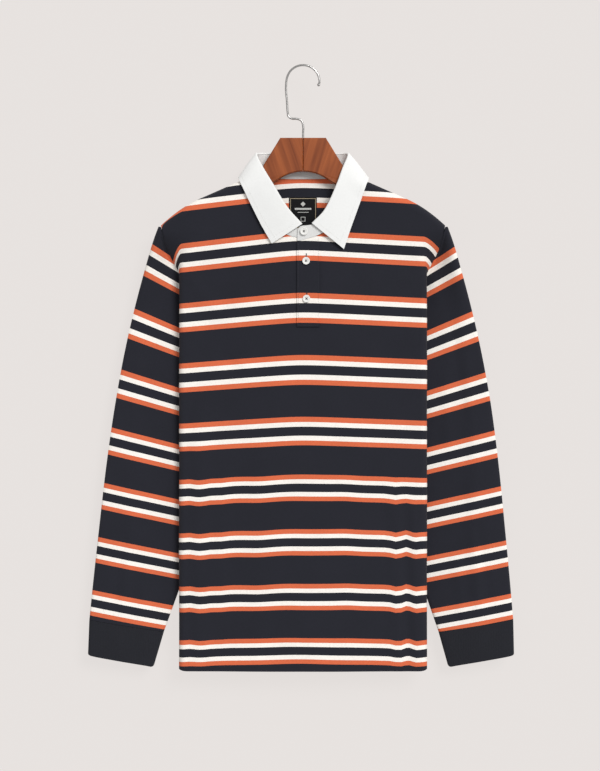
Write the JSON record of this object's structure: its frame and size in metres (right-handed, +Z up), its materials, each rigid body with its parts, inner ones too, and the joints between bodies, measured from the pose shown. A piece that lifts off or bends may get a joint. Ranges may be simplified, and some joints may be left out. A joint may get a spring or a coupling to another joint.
{
  "type": "rugby shirt on wooden hanger",
  "caption": "Striped long-sleeved rugby shirt with white collar and buttoned placket, hanging flat on a wooden hanger with a wire hook.",
  "frame": {"origin": "underside of the top of the hook's bend, where it hangs on a rail", "axes": "+X to the viewer's right of the shirt's front, +Y into the shirt's back, +Z up"},
  "size_m": [0.6192, 0.0503, 0.8802],
  "materials": {
    "jersey": "heavy cotton jersey, navy with orange and off-white stripes",
    "rib": "navy rib knit",
    "twill": "white cotton twill, stitched",
    "label": "black woven satin with a beige border",
    "button": "polished white resin",
    "wood": "red-brown stained and varnished wood",
    "steel": "drawn steel wire"
  },
  "bodies": {
    "root": {"front_panel": "jersey", "back_panel": "jersey", "sleeve_left": "jersey", "sleeve_right": "jersey", "placket_over": "jersey", "placket_under": "jersey", "cuff_left": "rib", "cuff_right": "rib", "collar_leaf": "twill", "collar_stand": "twill", "neck_label": "label", "button_1": "button", "button_2": "button", "button_3": "button", "hanger_arm_left": "wood", "hanger_arm_right": "wood", "hanger_hook": "steel"}
  },
  "joints": []
}
